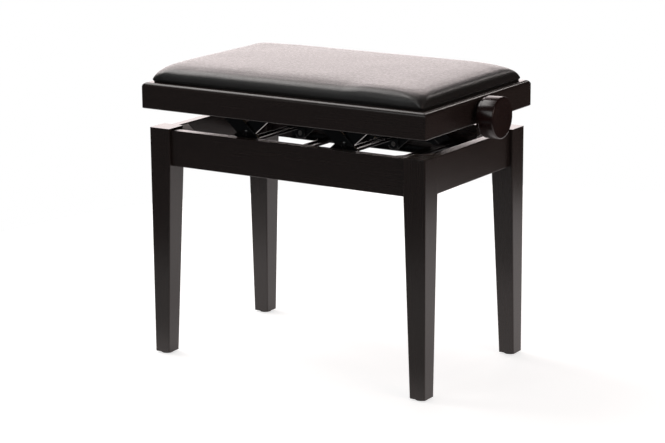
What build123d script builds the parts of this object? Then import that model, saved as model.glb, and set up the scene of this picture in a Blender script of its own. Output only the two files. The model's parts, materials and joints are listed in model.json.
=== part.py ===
from build123d import *
import math
import os

# Height-adjustable piano stool, in millimetres, at the height where it was photographed.
# +X runs along the seat towards the height knob, +Y to the back and +Z up from the floor.

# Seat
SEAT_LENGTH = 560.0
SEAT_DEPTH = 355.0
SEAT_RAIL_HEIGHT = 44.5
SEAT_RAIL_THICKNESS = 22.0
SEAT_EDGE_ROUND = 7.5
SEAT_EDGE_CHAMFER = 1.2
SEAT_BORDER = 14.5
BOARD_LEDGE_DEPTH = 11.5
BOARD_THICKNESS = 10.0
BOARD_CLEARANCE = 0.5
CUSHION_RISE = 30.5
CUSHION_CORNER_RADIUS = 5.0
CUSHION_CORNER_GROWTH = 30.0
CUSHION_CORNER_POWER = 1.5
CUSHION_FLAT_HALF_DEPTH = 52.5
CUSHION_CROWN_POWER = 0.8
CUSHION_SIDE_POWER = 2.2
CUSHION_EDGE_DRAW_IN = 1.5
CUSHION_STEPS = 9

# Legs, aprons and the blocks behind them
LEG_HEIGHT = 400.0
LEG_SIZE = 41.0
LEG_FOOT_SIZE = 29.0
LEG_ARRIS = 1.8
SEAT_OVERHANG_END = 6.5
SEAT_OVERHANG_SIDE = 10.5
GLIDE_RADIUS = 11.0
GLIDE_HEIGHT = 3.0
GLIDE_CHAMFER = 0.8
APRON_HEIGHT = 62.0
APRON_THICKNESS = 16.0
APRON_RECESS = 6.5
APRON_BELOW_LEG_TOP = 3.0
APRON_ARRIS = 1.0
BLOCK_REACH = 38.5
BLOCK_CLEARANCE = 1.5
LEG_BOLT_RADIUS = 4.0
LEG_BOLT_DEPTH = 17.0
LEG_BOLT_TAIL = 3.0
LEG_NUT_ACROSS_FLATS = 13.0
LEG_NUT_THICKNESS = 6.5
LEG_WASHER_RADIUS = 11.0
LEG_WASHER_THICKNESS = 1.6

# Scissor lift
SEAT_LIFT_GAP = 34.0
SCISSOR_SPACING = 196.0
ARM_ANGLE = 41.0
ARM_WIDTH = 24.0
ARM_THICKNESS = 4.0
ARM_GAP = 0.3
ARM_TO_RAIL = 9.5
LOWER_PIVOT_ABOVE_APRON = 17.0
UPPER_PIVOT_ABOVE_FRAME = 18.0
LOWEST_ARM_ANGLE = 28.2
HIGHEST_ARM_ANGLE = 70.0
PIVOT_RADIUS = 4.0
PIVOT_COLLAR_RADIUS = 7.0
RIVET_RADIUS = 5.0
RIVET_HEAD_RADIUS = 6.5
RIVET_HEAD_THICKNESS = 2.0
RAIL_THICKNESS = 3.0
LOWER_RAIL_HEIGHT = 30.0
LOWER_RAIL_FLANGE = 10.0
UPPER_RAIL_FLANGE = 12.5
UPPER_RAIL_BELOW_PIVOT = 14.0
RAIL_END_MARGIN = 11.0
CROSS_WIDTH = 20.0
CROSS_WALL = 2.0
CROSS_END_PLATE = 3.0
LOWER_CROSS_HEIGHT = 5.0
LOWER_CROSS_ABOVE_PIVOT = 11.5
FIXED_BAR_BELOW_PIVOT = 13.0
SLIDING_BAR_BELOW_PIVOT = 14.0
SLIDING_BAR_ABOVE_PIVOT = 11.0
TIE_BAR_WIDTH = 20.0
TIE_BAR_THICKNESS = 3.5
TIE_BAR_OFFSET = 60.0

# Height spindle and knob
SPINDLE_RADIUS = 5.0
SPINDLE_ABOVE_FRAME = 12.0
SPINDLE_FREE_END = 14.0
SPINDLE_IN_KNOB = 17.0
NUT_WIDTH = 24.0
NUT_ABOVE_SPINDLE = 10.0
COLLAR_RADIUS = 11.0
COLLAR_LENGTH = 6.0
BRACKET_WIDTH = 56.0
BRACKET_THICKNESS = 3.0
NOTCH_CLEARANCE = 4.0
KNOB_RADIUS = 35.0
KNOB_LENGTH = 27.0
KNOB_STANDOFF = 15.0
KNOB_CHAMFER = 1.8
KNOB_HUB_RADIUS = 14.0
KNOB_DISH_RADIUS = 29.0
KNOB_DISH_DEPTH = 0.6
DISC_RADIUS = 31.5
DISC_THICKNESS = 4.0
DISC_STANDOFF = 9.5

# Screws and fits
SCREW_RADIUS = 2.0
SCREW_HEAD_RADIUS = 4.0
SCREW_HEAD_HEIGHT = 1.8
SCREW_LENGTH = 11.0
BOARD_SCREW_LENGTH = 9.0
FIXED_FIT = 0.02
RUNNING_FIT = 0.06
SLOT_FIT = 0.3

# Levels, from the floor up
LEG_TOP = GLIDE_HEIGHT + LEG_HEIGHT
APRON_TOP = LEG_TOP - APRON_BELOW_LEG_TOP
APRON_BOTTOM = APRON_TOP - APRON_HEIGHT
FRAME_BOTTOM = LEG_TOP + SEAT_LIFT_GAP
FRAME_TOP = FRAME_BOTTOM + SEAT_RAIL_HEIGHT
BOARD_BOTTOM = FRAME_TOP - BOARD_LEDGE_DEPTH
BOARD_TOP = BOARD_BOTTOM + BOARD_THICKNESS
CUSHION_TOP = FRAME_TOP + CUSHION_RISE
LOWER_PIVOT = APRON_BOTTOM + LOWER_PIVOT_ABOVE_APRON
UPPER_PIVOT = FRAME_BOTTOM + UPPER_PIVOT_ABOVE_FRAME
MIDDLE_PIVOT = (LOWER_PIVOT + UPPER_PIVOT) / 2
SPINDLE_LEVEL = FRAME_BOTTOM + SPINDLE_ABOVE_FRAME
FIXED_BAR_BOTTOM = UPPER_PIVOT - FIXED_BAR_BELOW_PIVOT
SLIDING_BAR_BOTTOM = UPPER_PIVOT - SLIDING_BAR_BELOW_PIVOT
SLIDING_BAR_TOP = UPPER_PIVOT + SLIDING_BAR_ABOVE_PIVOT

# Half sizes of the frame, from the middle of the stool outwards
LEG_OUT_X = SEAT_LENGTH / 2 - SEAT_OVERHANG_END
LEG_OUT_Y = SEAT_DEPTH / 2 - SEAT_OVERHANG_SIDE
LEG_IN_X = LEG_OUT_X - LEG_SIZE
LEG_IN_Y = LEG_OUT_Y - LEG_SIZE
APRON_IN_X = LEG_OUT_X - APRON_RECESS - APRON_THICKNESS
APRON_IN_Y = LEG_OUT_Y - APRON_RECESS - APRON_THICKNESS
SEAT_IN_X = SEAT_LENGTH / 2 - SEAT_RAIL_THICKNESS

# Scissor planes, counted outwards from the middle
RAIL_OUT = APRON_IN_Y
RAIL_IN = RAIL_OUT - RAIL_THICKNESS
OUTER_ARM_OUT = RAIL_IN - ARM_TO_RAIL
OUTER_ARM_IN = OUTER_ARM_OUT - ARM_THICKNESS
INNER_ARM_OUT = OUTER_ARM_IN - ARM_GAP
INNER_ARM_IN = INNER_ARM_OUT - ARM_THICKNESS
OUTER_CROSS_END = OUTER_ARM_IN - ARM_GAP
INNER_CROSS_END = INNER_ARM_IN - ARM_GAP

# Scissor places along X; the arms' fixed ends are towards the knob
ARM_LENGTH = (UPPER_PIVOT - LOWER_PIVOT) / math.sin(math.radians(ARM_ANGLE))
ARM_SPREAD = ARM_LENGTH * math.cos(math.radians(ARM_ANGLE))
WIDEST_SPREAD = ARM_LENGTH * math.cos(math.radians(LOWEST_ARM_ANGLE))
NARROWEST_SPREAD = ARM_LENGTH * math.cos(math.radians(HIGHEST_ARM_ANGLE))
SIDES = {"right": SCISSOR_SPACING / 2, "left": -SCISSOR_SPACING / 2}
FIXED_X = {side: middle + ARM_SPREAD / 2 for side, middle in SIDES.items()}
SLIDING_X = {side: middle - ARM_SPREAD / 2 for side, middle in SIDES.items()}
SLOT_END_LEFT = FIXED_X["left"] - WIDEST_SPREAD
RAIL_HALF_LENGTH = -SLOT_END_LEFT + RAIL_END_MARGIN
FACES = {"front": -1, "back": 1}

# Knob places along X
KNOB_BACK = SEAT_LENGTH / 2 + KNOB_STANDOFF
KNOB_FACE = KNOB_BACK + KNOB_LENGTH
DISC_BACK = SEAT_LENGTH / 2 + DISC_STANDOFF
DISC_FACE = DISC_BACK + DISC_THICKNESS

# The origin lies on the floor under the middle of the overall box, knob included
TO_ORIGIN = Pos(-(KNOB_FACE - SEAT_LENGTH / 2) / 2, 0, 0)


def block(x_range, y_range, z_range):
    x_range, y_range, z_range = sorted(x_range), sorted(y_range), sorted(z_range)
    size = [high - low for low, high in (x_range, y_range, z_range)]
    middle = [(high + low) / 2 for low, high in (x_range, y_range, z_range)]
    return Pos(*middle) * Box(*size)


def rod_x(y, z, x_range, radius):
    low, high = sorted(x_range)
    return Pos((low + high) / 2, y, z) * Rot(0, 90, 0) * Cylinder(radius, high - low)


def rod_y(x, z, y_range, radius):
    low, high = sorted(y_range)
    return Pos(x, (low + high) / 2, z) * Rot(90, 0, 0) * Cylinder(radius, high - low)


def rod_z(x, y, z_range, radius):
    low, high = sorted(z_range)
    return Pos(x, y, (low + high) / 2) * Cylinder(radius, high - low)


def slot_y(x_range, z, y_range, radius):
    ends = [rod_y(x, z, y_range, radius) for x in x_range]
    return block(x_range, y_range, (z - radius, z + radius)) + ends


def prism(points, z_range):
    low, high = sorted(z_range)
    return extrude(Pos(0, 0, low) * make_face(Polyline(*points, close=True)), high - low)


def save(name, *pieces):
    solids = [(TO_ORIGIN * piece).solid() for piece in pieces]
    shape = solids[0] if len(solids) == 1 else Compound(solids)
    shape.label = name
    export_step(shape, f"parts/{name}.step")


# Legs: square at the top, tapered on their two inner faces, on round glides


def leg_axis(out, size):
    return out - size / 2


def leg(side_x, side_y):
    def section(size, z):
        place = (side_x * leg_axis(LEG_OUT_X, size), side_y * leg_axis(LEG_OUT_Y, size), z)
        return Pos(*place) * RectangleRounded(size, size, LEG_ARRIS)

    head = extrude(section(LEG_SIZE, APRON_BOTTOM), LEG_TOP - APRON_BOTTOM)
    taper = loft([section(LEG_FOOT_SIZE, GLIDE_HEIGHT), section(LEG_SIZE, APRON_BOTTOM)], ruled=True)
    return head + taper - leg_bolt_hole(side_x, side_y)


def glide(side_x, side_y):
    middle_x = side_x * leg_axis(LEG_OUT_X, LEG_FOOT_SIZE)
    middle_y = side_y * leg_axis(LEG_OUT_Y, LEG_FOOT_SIZE)
    disc = rod_z(middle_x, middle_y, (0, GLIDE_HEIGHT), GLIDE_RADIUS)
    return chamfer(disc.edges().group_by(Axis.Z)[0], GLIDE_CHAMFER)


# Aprons between the legs, with a corner block and a hanger bolt behind each leg


def long_apron(face):
    out = face * (LEG_OUT_Y - APRON_RECESS)
    board = block((-LEG_IN_X, LEG_IN_X), (face * APRON_IN_Y, out), (APRON_BOTTOM, APRON_TOP))
    edges = board.edges().filter_by(Axis.X).sort_by(lambda edge: face * edge.center().Y)[-2:]
    board = fillet(edges, APRON_ARRIS)
    for x in lower_screw_places():
        board -= rod_y(x, LOWER_PIVOT, lower_screw_reach(face), SCREW_RADIUS + FIXED_FIT)
    return board


def end_apron(side_x):
    out = side_x * (LEG_OUT_X - APRON_RECESS)
    board = block((side_x * APRON_IN_X, out), (-LEG_IN_Y, LEG_IN_Y), (APRON_BOTTOM, APRON_TOP))
    edges = board.edges().filter_by(Axis.Y).sort_by(lambda edge: side_x * edge.center().X)[-2:]
    return fillet(edges, APRON_ARRIS)


BLOCK_LOW = LOWER_PIVOT + LOWER_RAIL_HEIGHT / 2 + BLOCK_CLEARANCE
BLOCK_HIGH = APRON_TOP - BLOCK_CLEARANCE
BLOCK_FACE_X = LEG_IN_X - BLOCK_REACH
BLOCK_FACE_Y = APRON_IN_Y - (APRON_IN_X - BLOCK_FACE_X)
BLOCK_DEPTH = (LEG_IN_X + LEG_IN_Y - BLOCK_FACE_X - APRON_IN_Y) / math.sqrt(2)


def along_bolt(side_x, side_y, shape):
    turn = math.degrees(math.atan2(side_y, side_x))
    place = Pos(side_x * LEG_IN_X, side_y * LEG_IN_Y, (BLOCK_LOW + BLOCK_HIGH) / 2)
    return place * Rot(0, 0, turn) * Rot(0, 90, 0) * shape


def leg_bolt_hole(side_x, side_y):
    drill = rod_z(0, 0, (-BLOCK_DEPTH, LEG_BOLT_DEPTH), LEG_BOLT_RADIUS + FIXED_FIT)
    return along_bolt(side_x, side_y, drill)


def leg_bolt(side_x, side_y):
    nut_seat = -BLOCK_DEPTH - LEG_WASHER_THICKNESS
    washer = rod_z(0, 0, (nut_seat, -BLOCK_DEPTH), LEG_WASHER_RADIUS)
    hexagon = RegularPolygon(LEG_NUT_ACROSS_FLATS / 2, 6, major_radius=False)
    nut = Pos(0, 0, nut_seat - LEG_NUT_THICKNESS) * extrude(hexagon, LEG_NUT_THICKNESS)
    bolt = rod_z(0, 0, (nut_seat - LEG_NUT_THICKNESS - LEG_BOLT_TAIL, LEG_BOLT_DEPTH), LEG_BOLT_RADIUS)
    return along_bolt(side_x, side_y, bolt + washer + nut)


def corner_block(side_x, side_y):
    plan = [
        (BLOCK_FACE_X, APRON_IN_Y),
        (APRON_IN_X, BLOCK_FACE_Y),
        (APRON_IN_X, LEG_IN_Y),
        (LEG_IN_X, LEG_IN_Y),
        (LEG_IN_X, APRON_IN_Y),
    ]
    body = prism([(side_x * x, side_y * y) for x, y in plan], (BLOCK_LOW, BLOCK_HIGH))
    return body - leg_bolt_hole(side_x, side_y)


# Slotted steel rails: the lower pair on the long aprons, the upper pair under the seat board


def slots(level, y_range):
    cuts = []
    for side in SIDES:
        ends = (FIXED_X[side] - WIDEST_SPREAD, FIXED_X[side] - NARROWEST_SPREAD)
        cuts.append(slot_y(ends, level, y_range, PIVOT_RADIUS + SLOT_FIT))
        cuts.append(rod_y(FIXED_X[side], level, y_range, PIVOT_RADIUS + FIXED_FIT))
    return cuts


def lower_screw_places():
    between = (FIXED_X["left"] + FIXED_X["right"] - WIDEST_SPREAD) / 2
    end = FIXED_X["right"] + RAIL_END_MARGIN + PIVOT_RADIUS
    return [between, end]


def lower_screw_reach(face):
    return (face * RAIL_IN, face * (RAIL_IN + SCREW_LENGTH))


def lower_rail(face):
    low = LOWER_PIVOT - LOWER_RAIL_HEIGHT / 2
    length = (-RAIL_HALF_LENGTH, RAIL_HALF_LENGTH)
    web = block(length, (face * RAIL_IN, face * RAIL_OUT), (low, low + LOWER_RAIL_HEIGHT))
    flange_range = (face * (RAIL_OUT - LOWER_RAIL_FLANGE), face * RAIL_OUT)
    flange = block(length, flange_range, (low, low + RAIL_THICKNESS))
    rail = web + flange - slots(LOWER_PIVOT, (face * RAIL_IN, face * RAIL_OUT))
    for x in lower_screw_places():
        rail -= rod_y(x, LOWER_PIVOT, lower_screw_reach(face), SCREW_RADIUS + FIXED_FIT)
    return rail


def lower_rail_screw(x, face):
    head = rod_y(x, LOWER_PIVOT, (face * (RAIL_IN - SCREW_HEAD_HEIGHT), face * RAIL_IN), SCREW_HEAD_RADIUS)
    return head + rod_y(x, LOWER_PIVOT, lower_screw_reach(face), SCREW_RADIUS)


def board_screw_places():
    flange_y = RAIL_IN + RAIL_THICKNESS + (UPPER_RAIL_FLANGE - RAIL_THICKNESS) / 2
    rail_x = RAIL_HALF_LENGTH - RAIL_END_MARGIN
    on_rails = [(x, face * flange_y) for x in (-rail_x, 0, rail_x) for face in FACES.values()]
    on_bars = [(FIXED_X[side], face * TIE_BAR_OFFSET) for side in SIDES for face in FACES.values()]
    return {"rails": on_rails, "bars": on_bars}


def board_screw_reach(thickness):
    low = BOARD_BOTTOM - thickness
    return (low, low + BOARD_SCREW_LENGTH)


def board_screw(place, thickness):
    low, high = board_screw_reach(thickness)
    head = rod_z(*place, (low - SCREW_HEAD_HEIGHT, low), SCREW_HEAD_RADIUS)
    return head + rod_z(*place, (low, high), SCREW_RADIUS)


def upper_rail(face):
    low = UPPER_PIVOT - UPPER_RAIL_BELOW_PIVOT
    length = (-RAIL_HALF_LENGTH, RAIL_HALF_LENGTH)
    web = block(length, (face * RAIL_IN, face * RAIL_OUT), (low, BOARD_BOTTOM))
    flange_range = (face * RAIL_IN, face * (RAIL_IN + UPPER_RAIL_FLANGE))
    flange = block(length, flange_range, (BOARD_BOTTOM - RAIL_THICKNESS, BOARD_BOTTOM))
    rail = web + flange - slots(UPPER_PIVOT, (face * RAIL_IN, face * RAIL_OUT))
    for place in board_screw_places()["rails"]:
        rail -= rod_z(*place, board_screw_reach(RAIL_THICKNESS), SCREW_RADIUS + FIXED_FIT)
    return rail


# Cross members: steel channels that hold the pivot pins at their ends


def channel(x, end, z_range, opens_up):
    low, high = z_range
    outer = block((x - CROSS_WIDTH / 2, x + CROSS_WIDTH / 2), (-end, end), z_range)
    inside = CROSS_WIDTH / 2 - CROSS_WALL
    hollow_range = (low + CROSS_WALL, high) if opens_up else (low, high - CROSS_WALL)
    hollow_end = end - CROSS_END_PLATE
    hollow = block((x - inside, x + inside), (-hollow_end, hollow_end), hollow_range)
    return outer - hollow


def pin_bore(x, level, end):
    return rod_y(x, level, (-end, end), PIVOT_RADIUS + FIXED_FIT)


def lower_cross(x, end):
    # a shallow channel above the pivots, with a round-ended tab down to the pin at each end
    low = LOWER_PIVOT + LOWER_CROSS_ABOVE_PIVOT
    cross = channel(x, end, (low, low + LOWER_CROSS_HEIGHT), True)
    for face in FACES.values():
        tab = (face * (end - CROSS_END_PLATE), face * end)
        cross += block((x - CROSS_WIDTH / 2, x + CROSS_WIDTH / 2), tab, (LOWER_PIVOT, low))
        cross += rod_y(x, LOWER_PIVOT, tab, CROSS_WIDTH / 2)
    return cross - pin_bore(x, LOWER_PIVOT, end)


def upper_fixed_bar(side):
    x = FIXED_X[side]
    bar = channel(x, INNER_CROSS_END, (FIXED_BAR_BOTTOM, BOARD_BOTTOM), False)
    bar -= pin_bore(x, UPPER_PIVOT, INNER_CROSS_END)
    for place in board_screw_places()["bars"]:
        bar -= rod_z(*place, board_screw_reach(CROSS_WALL), SCREW_RADIUS + FIXED_FIT)
    if side == "right":
        bar -= rod_x(0, SPINDLE_LEVEL, (x - CROSS_WIDTH, x + CROSS_WIDTH), SPINDLE_RADIUS + RUNNING_FIT)
    return bar


def tie_rivet_places():
    return [(x, face * TIE_BAR_OFFSET) for x in SLIDING_X.values() for face in FACES.values()]


def upper_sliding_bar(side):
    x = SLIDING_X[side]
    bar = channel(x, OUTER_CROSS_END, (SLIDING_BAR_BOTTOM, SLIDING_BAR_TOP), True)
    bar -= pin_bore(x, UPPER_PIVOT, OUTER_CROSS_END)
    for place in tie_rivet_places():
        bar -= tie_rivet_shank(place, FIXED_FIT)
    if side == "right":
        bar -= rod_x(0, SPINDLE_LEVEL, (x - CROSS_WIDTH, x + CROSS_WIDTH), SPINDLE_RADIUS + SLOT_FIT)
    return bar


def tie_rivet_shank(place, fit):
    low = SLIDING_BAR_BOTTOM - TIE_BAR_THICKNESS
    return rod_z(*place, (low, SLIDING_BAR_BOTTOM + CROSS_WALL), PIVOT_RADIUS + fit)


def tie_rivet(place):
    low = SLIDING_BAR_BOTTOM + CROSS_WALL
    head = rod_z(*place, (low, low + SCREW_HEAD_HEIGHT), CROSS_WIDTH / 2 - CROSS_WALL - SLOT_FIT)
    return head + tie_rivet_shank(place, 0)


def tie_bar(face):
    end = CROSS_WIDTH / 2
    length = (SLIDING_X["left"] - end, SLIDING_X["right"] + end)
    middle = face * TIE_BAR_OFFSET
    width = (middle - TIE_BAR_WIDTH / 2, middle + TIE_BAR_WIDTH / 2)
    bar = block(length, width, (SLIDING_BAR_BOTTOM - TIE_BAR_THICKNESS, SLIDING_BAR_BOTTOM))
    for place in tie_rivet_places():
        bar -= tie_rivet_shank(place, FIXED_FIT)
    return bar


# Scissor arms, their centre rivets and the pins at their ends


def arm(side, y_range, turn, centre_bore):
    half = ARM_LENGTH / 2
    plate = block((-half, half), y_range, (-ARM_WIDTH / 2, ARM_WIDTH / 2))
    for x in (-half, half):
        plate += rod_y(x, 0, y_range, ARM_WIDTH / 2)
    for x in (-half, half):
        plate -= rod_y(x, 0, y_range, PIVOT_RADIUS + RUNNING_FIT)
    plate -= rod_y(0, 0, y_range, centre_bore)
    return Pos(SIDES[side], 0, MIDDLE_PIVOT) * Rot(0, turn, 0) * plate


def outer_arm(side, face):
    return arm(side, (face * OUTER_ARM_IN, face * OUTER_ARM_OUT), ARM_ANGLE, RIVET_RADIUS + FIXED_FIT)


def inner_arm(side, face):
    return arm(side, (face * INNER_ARM_IN, face * INNER_ARM_OUT), -ARM_ANGLE, RIVET_RADIUS + RUNNING_FIT)


def centre_rivet(side, face):
    inside = INNER_ARM_IN - ARM_GAP
    parts = [
        (inside - RIVET_HEAD_THICKNESS, inside, RIVET_HEAD_RADIUS),
        (inside, OUTER_ARM_OUT, RIVET_RADIUS),
        (OUTER_ARM_OUT, OUTER_ARM_OUT + RIVET_HEAD_THICKNESS, RIVET_HEAD_RADIUS),
    ]
    steps = [rod_y(SIDES[side], MIDDLE_PIVOT, (face * a, face * b), r) for a, b, r in parts]
    return steps[0] + steps[1:]


def pivot_pin(x, z, face, cross_end, arm_out, collar_out, pin_out):
    shank = rod_y(x, z, (face * (cross_end - CROSS_END_PLATE), face * pin_out), PIVOT_RADIUS)
    return shank + rod_y(x, z, (face * (arm_out + ARM_GAP), face * collar_out), PIVOT_COLLAR_RADIUS)


def lower_fixed_pin(side, face):
    return pivot_pin(FIXED_X[side], LOWER_PIVOT, face, OUTER_CROSS_END, OUTER_ARM_OUT, RAIL_IN, RAIL_OUT)


def upper_fixed_pin(side, face):
    return pivot_pin(FIXED_X[side], UPPER_PIVOT, face, INNER_CROSS_END, INNER_ARM_OUT, RAIL_IN, RAIL_OUT)


def lower_slide_pin(side, face):
    ends = (RAIL_IN - SLOT_FIT, RAIL_OUT - SLOT_FIT)
    return pivot_pin(SLIDING_X[side], LOWER_PIVOT, face, INNER_CROSS_END, INNER_ARM_OUT, *ends)


def upper_slide_pin(side, face):
    ends = (RAIL_IN - SLOT_FIT, RAIL_OUT + SLOT_FIT)
    return pivot_pin(SLIDING_X[side], UPPER_PIVOT, face, OUTER_CROSS_END, OUTER_ARM_OUT, *ends)


# Seat: four mitred rails, a board on their ledge and a crowned cushion


def seat_rail(length):
    turn = SEAT_EDGE_ROUND * (1 - math.sqrt(0.5))
    outline = Polyline(
        (SEAT_EDGE_ROUND, FRAME_TOP),
        (SEAT_BORDER, FRAME_TOP),
        (SEAT_BORDER, BOARD_BOTTOM),
        (SEAT_RAIL_THICKNESS, BOARD_BOTTOM),
        (SEAT_RAIL_THICKNESS, FRAME_BOTTOM),
        (SEAT_EDGE_CHAMFER, FRAME_BOTTOM),
        (0, FRAME_BOTTOM + SEAT_EDGE_CHAMFER),
        (0, FRAME_TOP - SEAT_EDGE_ROUND),
    )
    rounded_edge = ThreePointArc(
        (0, FRAME_TOP - SEAT_EDGE_ROUND), (turn, FRAME_TOP - turn), (SEAT_EDGE_ROUND, FRAME_TOP)
    )
    profile = Plane.YZ * make_face([*outline.edges(), *rounded_edge.edges()])
    strip = extrude(profile, length / 2, both=True)
    inner = length / 2 - SEAT_RAIL_THICKNESS
    plan = [(-length / 2, 0), (length / 2, 0), (inner, SEAT_RAIL_THICKNESS), (-inner, SEAT_RAIL_THICKNESS)]
    return strip & prism(plan, (FRAME_BOTTOM, FRAME_TOP))


def spindle_notch():
    radius = SPINDLE_RADIUS + NOTCH_CLEARANCE
    through = (SEAT_IN_X, SEAT_LENGTH / 2)
    return rod_x(0, SPINDLE_LEVEL, through, radius) + block(
        through, (-radius, radius), (FRAME_BOTTOM, SPINDLE_LEVEL)
    )


def bracket_screw_places():
    offset = BRACKET_WIDTH / 2 - 2 * SCREW_HEAD_RADIUS
    return [(-offset, SPINDLE_LEVEL), (offset, SPINDLE_LEVEL)]


def bracket_screw_reach():
    start = SEAT_IN_X - BRACKET_THICKNESS
    return (start, start + SCREW_LENGTH)


def right_seat_rail():
    rail = Pos(SEAT_LENGTH / 2, 0, 0) * Rot(0, 0, 90) * seat_rail(SEAT_DEPTH) - spindle_notch()
    for place in bracket_screw_places():
        rail -= rod_x(*place, bracket_screw_reach(), SCREW_RADIUS + FIXED_FIT)
    return rail


def spindle_bracket():
    low = FRAME_BOTTOM + SEAT_EDGE_CHAMFER
    width = (-BRACKET_WIDTH / 2, BRACKET_WIDTH / 2)
    plate = block((SEAT_IN_X - BRACKET_THICKNESS, SEAT_IN_X), width, (low, BOARD_BOTTOM))
    plate -= spindle_bore((SEAT_IN_X - BRACKET_THICKNESS, SEAT_IN_X), RUNNING_FIT)
    for place in bracket_screw_places():
        plate -= rod_x(*place, bracket_screw_reach(), SCREW_RADIUS + FIXED_FIT)
    return plate


def bracket_screw(place):
    start, end = bracket_screw_reach()
    head = rod_x(*place, (start - SCREW_HEAD_HEIGHT, start), SCREW_HEAD_RADIUS)
    return head + rod_x(*place, (start, end), SCREW_RADIUS)


def seat_board():
    length = SEAT_LENGTH - 2 * (SEAT_BORDER + BOARD_CLEARANCE)
    depth = SEAT_DEPTH - 2 * (SEAT_BORDER + BOARD_CLEARANCE)
    board = block((-length / 2, length / 2), (-depth / 2, depth / 2), (BOARD_BOTTOM, BOARD_TOP))
    for place in board_screw_places()["rails"]:
        board -= rod_z(*place, board_screw_reach(RAIL_THICKNESS), SCREW_RADIUS + FIXED_FIT)
    for place in board_screw_places()["bars"]:
        board -= rod_z(*place, board_screw_reach(CROSS_WALL), SCREW_RADIUS + FIXED_FIT)
    return board


def cushion_section(inset, corner, height):
    half_x = SEAT_LENGTH / 2 - SEAT_BORDER - BOARD_CLEARANCE - inset
    half_y = SEAT_DEPTH / 2 - SEAT_BORDER - BOARD_CLEARANCE - inset
    flat_x, flat_y = half_x - corner, half_y - corner
    turn = corner * (1 - math.sqrt(0.5))
    drawn_x, drawn_y = half_x - CUSHION_EDGE_DRAW_IN, half_y - CUSHION_EDGE_DRAW_IN
    arcs = [
        ((-flat_x, -half_y), (0, -drawn_y), (flat_x, -half_y)),
        ((flat_x, -half_y), (half_x - turn, turn - half_y), (half_x, -flat_y)),
        ((half_x, -flat_y), (drawn_x, 0), (half_x, flat_y)),
        ((half_x, flat_y), (half_x - turn, half_y - turn), (flat_x, half_y)),
        ((flat_x, half_y), (0, drawn_y), (-flat_x, half_y)),
        ((-flat_x, half_y), (turn - half_x, half_y - turn), (-half_x, flat_y)),
        ((-half_x, flat_y), (-drawn_x, 0), (-half_x, -flat_y)),
        ((-half_x, -flat_y), (turn - half_x, turn - half_y), (-flat_x, -half_y)),
    ]
    return Pos(0, 0, height) * make_face([ThreePointArc(*points) for points in arcs])


def cushion():
    # steep sides that turn over into a low crown, from the board's edge to the flat of the top
    rise = CUSHION_TOP - BOARD_TOP
    crown_width = SEAT_DEPTH / 2 - SEAT_BORDER - BOARD_CLEARANCE - CUSHION_FLAT_HALF_DEPTH
    sections = []
    for step in range(CUSHION_STEPS + 1):
        turn = math.radians(90 * step / CUSHION_STEPS)
        inset = crown_width * (1 - math.cos(turn)) ** CUSHION_SIDE_POWER
        corner = CUSHION_CORNER_RADIUS + CUSHION_CORNER_GROWTH * math.sin(turn) ** CUSHION_CORNER_POWER
        height = BOARD_TOP + rise * math.sin(turn) ** CUSHION_CROWN_POWER
        sections.append(cushion_section(inset, corner, height))
    return loft(sections, ruled=True)


# Spindle, its nut and collars, and the knob with the disc behind it


def spindle():
    start = FIXED_X["right"] - WIDEST_SPREAD - CROSS_WIDTH / 2 - SPINDLE_FREE_END
    return rod_x(0, SPINDLE_LEVEL, (start, KNOB_BACK + SPINDLE_IN_KNOB), SPINDLE_RADIUS)


def spindle_bore(x_range, fit):
    return rod_x(0, SPINDLE_LEVEL, x_range, SPINDLE_RADIUS + fit)


def spindle_nut():
    half = CROSS_WIDTH / 2 - CROSS_WALL
    x_range = (SLIDING_X["right"] - half, SLIDING_X["right"] + half)
    z_range = (SLIDING_BAR_BOTTOM + CROSS_WALL, SPINDLE_LEVEL + NUT_ABOVE_SPINDLE)
    return block(x_range, (-NUT_WIDTH / 2, NUT_WIDTH / 2), z_range) - spindle_bore(x_range, RUNNING_FIT)


def thrust_collar(direction):
    start = FIXED_X["right"] + direction * (CROSS_WIDTH / 2 + SLOT_FIT)
    x_range = (start, start + direction * COLLAR_LENGTH)
    return rod_x(0, SPINDLE_LEVEL, x_range, COLLAR_RADIUS) - spindle_bore(x_range, FIXED_FIT)


def backing_disc():
    disc = rod_x(0, SPINDLE_LEVEL, (DISC_BACK, DISC_FACE), DISC_RADIUS)
    return disc - spindle_bore((DISC_BACK, DISC_FACE), FIXED_FIT)


def knob():
    body = rod_x(0, SPINDLE_LEVEL, (KNOB_BACK, KNOB_FACE), KNOB_RADIUS)
    body = chamfer(body.edges().filter_by(GeomType.CIRCLE), KNOB_CHAMFER)
    dish = rod_x(0, SPINDLE_LEVEL, (KNOB_FACE - KNOB_DISH_DEPTH, KNOB_FACE), KNOB_DISH_RADIUS)
    hub = rod_x(0, SPINDLE_LEVEL, (DISC_FACE, KNOB_BACK), KNOB_HUB_RADIUS)
    return body - dish + hub - spindle_bore((DISC_FACE, KNOB_BACK + SPINDLE_IN_KNOB), FIXED_FIT)


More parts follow.
